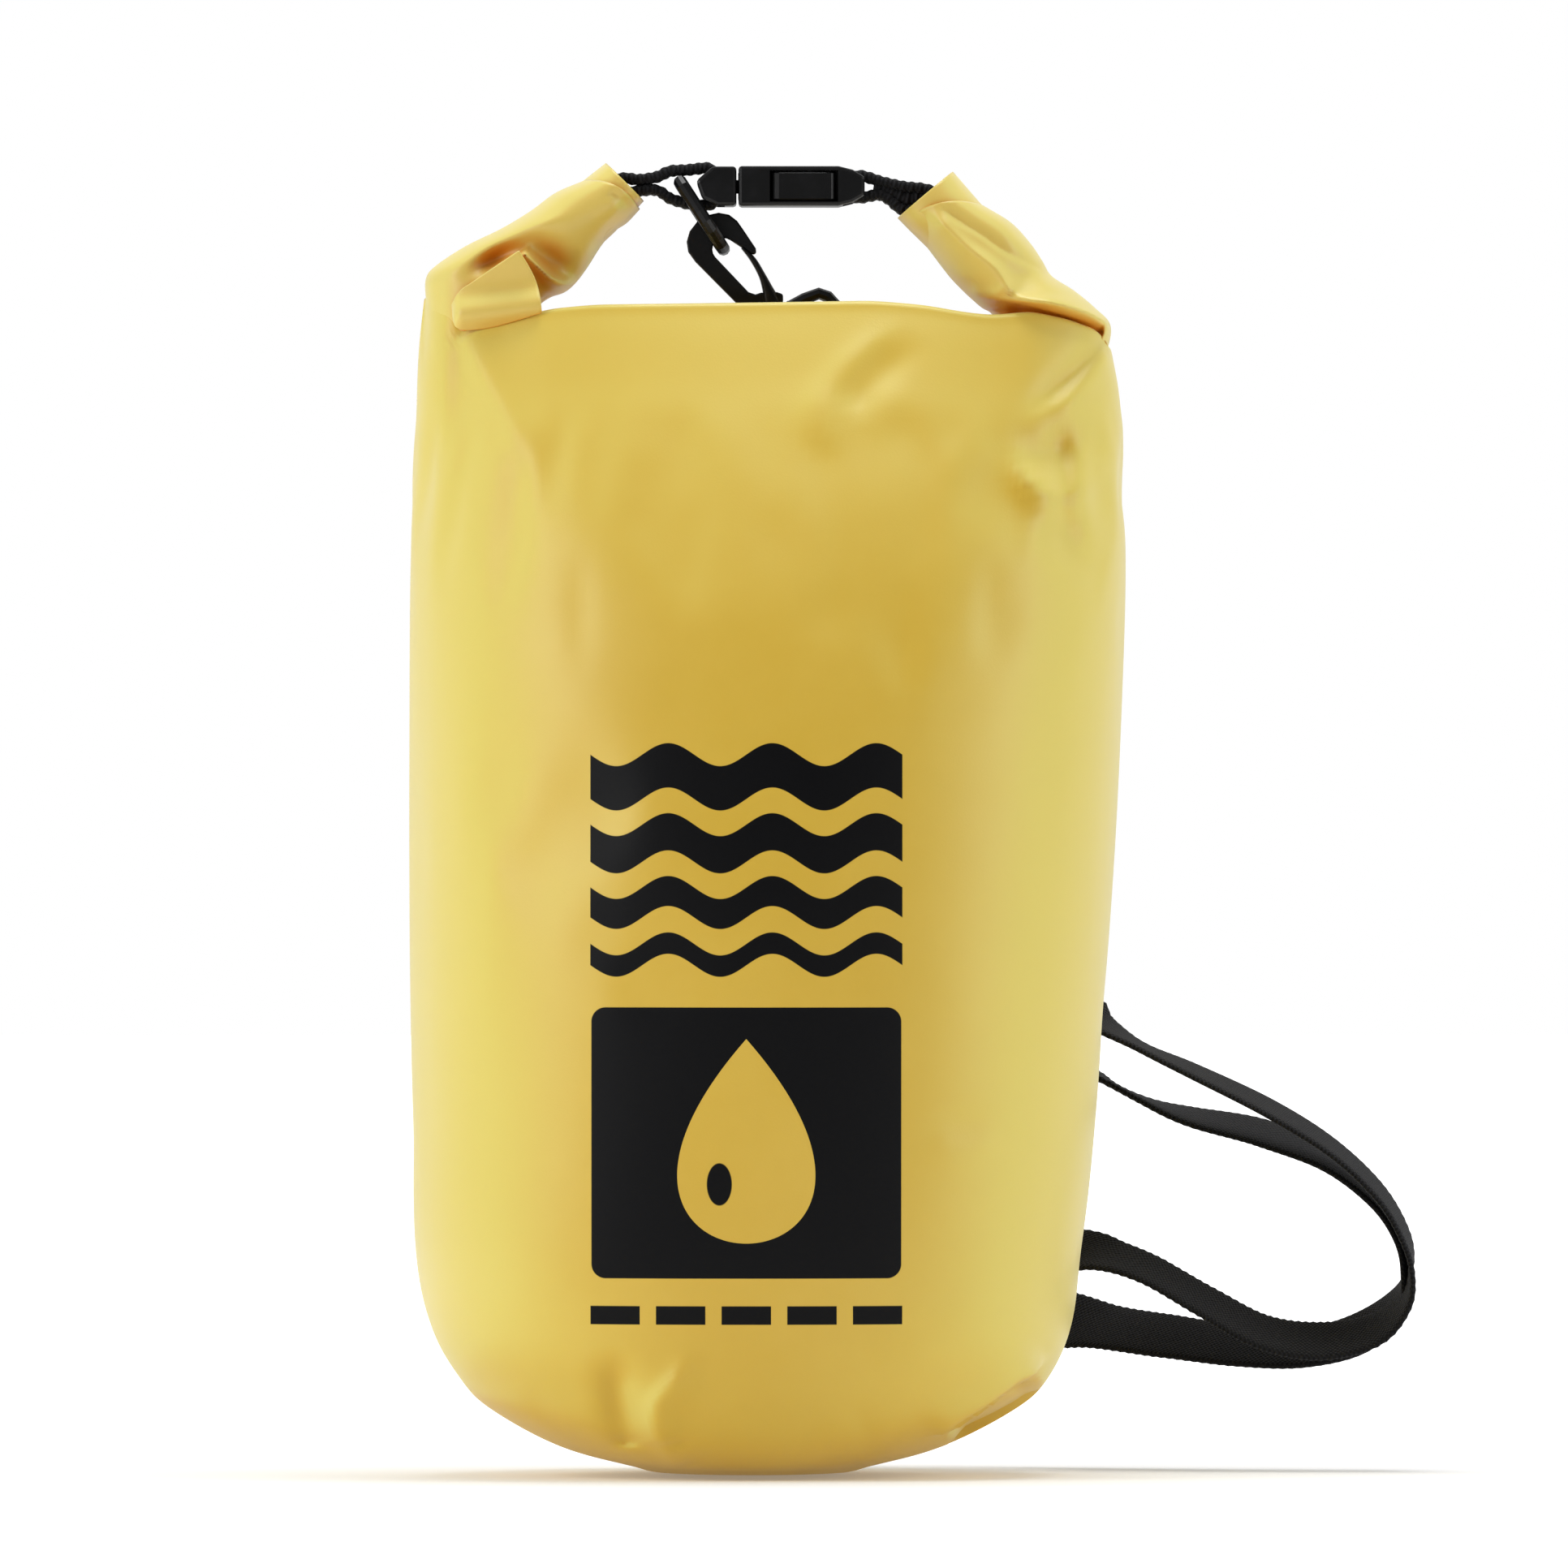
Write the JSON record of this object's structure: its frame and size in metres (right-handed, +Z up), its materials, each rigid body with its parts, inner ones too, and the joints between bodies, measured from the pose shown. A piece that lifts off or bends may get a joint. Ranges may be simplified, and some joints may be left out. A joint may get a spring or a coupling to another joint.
{
  "type": "roll-top dry bag",
  "caption": "Roll-top dry bag in coated fabric, closed with a side-release buckle, with shoulder straps clipped to the closure by a swivel snap hook.",
  "frame": {"origin": "centre of the base panel's flat resting face", "axes": "+Z up the bag; -Y out of the front, which has the printed panel; +X to the right seen from the front, towards the straps"},
  "size_m": [0.284, 0.2022, 0.3703],
  "materials": {
    "yellow_pvc": "satin PVC-coated fabric",
    "stiffener_strip": "satin",
    "black_webbing": "ribbed woven webbing",
    "black_plastic": "fine satin moulded"
  },
  "bodies": {
    "root": {"anchor_patch": "yellow_pvc", "anchor_tab_far": "black_webbing", "anchor_tab_near": "black_webbing", "base_panel": "yellow_pvc", "roll_centre": "yellow_pvc", "shoulder_strap_far": "black_webbing", "shoulder_strap_near": "black_webbing", "sleeve": "yellow_pvc", "stiffener_centre": "stiffener_strip"},
    "left_end": {"roll_left": "yellow_pvc", "stiffener_left": "stiffener_strip"},
    "right_end": {"roll_right": "yellow_pvc", "stiffener_right": "stiffener_strip"},
    "male_half": {"buckle_plug": "black_plastic", "buckle_web_left": "black_webbing"},
    "female_half": {"buckle_socket": "black_plastic", "buckle_web_right": "black_webbing"},
    "front_prong": {"prong_front": "black_plastic"},
    "rear_prong": {"prong_rear": "black_plastic"},
    "ring": {"d_ring": "black_plastic"},
    "eye": {"swivel_eye": "black_plastic"},
    "hook": {"hook_body": "black_plastic"},
    "gate": {"hook_gate": "black_plastic"},
    "harness_top": {"harness_loop": "black_webbing"},
    "near_lock": {"ladder_lock_near": "black_plastic", "strap_end_near": "black_webbing"},
    "far_lock": {"ladder_lock_far": "black_plastic", "strap_end_far": "black_webbing"}
  },
  "joints": [
    {"name": "closure_spread_right", "type": "hinge", "parent": "root", "child": "right_end", "pos_m": [0.083, 0, 0.3177], "axis": [0, 1, 0], "range_deg": [0, 22], "deforming": ["prong_front", "prong_rear"]},
    {"name": "closure_spread_left", "type": "hinge", "parent": "root", "child": "left_end", "pos_m": [-0.08, 0, 0.3177], "axis": [0, -1, 0], "range_deg": [0, 22]},
    {"name": "socket_level", "type": "hinge", "parent": "right_end", "child": "female_half", "pos_m": [0.041, 0, 0.3627], "axis": [0, -1, 0], "range_deg": [0, 22]},
    {"name": "plug_level", "type": "hinge", "parent": "left_end", "child": "male_half", "pos_m": [-0.038, 0, 0.3627], "axis": [0, 1, 0], "range_deg": [0, 22]},
    {"name": "harness_follow", "type": "slide", "parent": "root", "child": "harness_top", "axis": [-0.8478, 0, 0.5303], "range_m": [0, 0.0236]},
    {"name": "prong_front_squeeze", "type": "hinge", "parent": "male_half", "child": "front_prong", "pos_m": [-0.0076, -0.0086, 0.3627], "axis": [0, 0, 1], "range_deg": [0, 12]},
    {"name": "prong_rear_squeeze", "type": "hinge", "parent": "male_half", "child": "rear_prong", "pos_m": [-0.0076, 0.0086, 0.3627], "axis": [0, 0, -1], "range_deg": [0, 12]},
    {"name": "ring_swing", "type": "hinge", "parent": "male_half", "child": "ring", "pos_m": [-0.025, 0, 0.3639], "axis": [0, 1, 0], "range_deg": [0, 12]},
    {"name": "hook_sway", "type": "hinge", "parent": "ring", "child": "eye", "pos_m": [-0.0129, 0, 0.3452], "axis": [0, 1, 0], "range_deg": [-19, 0]},
    {"name": "hook_spin", "type": "hinge", "parent": "eye", "child": "hook", "pos_m": [-0.0016, 0, 0.332], "axis": [-0.672, 0, 0.7406], "range_deg": [-15, 15]},
    {"name": "gate_open", "type": "hinge", "parent": "hook", "child": "gate", "pos_m": [0.00001, 0, 0.33454], "axis": [0, -1, 0], "range_deg": [0, 16]},
    {"name": "lock_tilt_near", "type": "hinge", "parent": "root", "child": "near_lock", "pos_m": [0.02236, 0.09445, 0.05594], "axis": [0, 0, 1], "range_deg": [0, 12]},
    {"name": "lock_tilt_far", "type": "hinge", "parent": "root", "child": "far_lock", "pos_m": [-0.05215, 0.08626, 0.05582], "axis": [0, 0, 1], "range_deg": [0, 12]}
  ],
  "couplings": [
    {"joint": "closure_spread_left", "follows": "closure_spread_right", "ratio": 1},
    {"joint": "socket_level", "follows": "closure_spread_right", "ratio": 1},
    {"joint": "plug_level", "follows": "closure_spread_right", "ratio": 1},
    {"joint": "harness_follow", "follows": "closure_spread_right", "m_per_rad": 0.06118},
    {"joint": "prong_rear_squeeze", "follows": "prong_front_squeeze", "ratio": 1},
    {"joint": "hook_sway", "follows": "ring_swing", "ratio": -1.573}
  ]
}
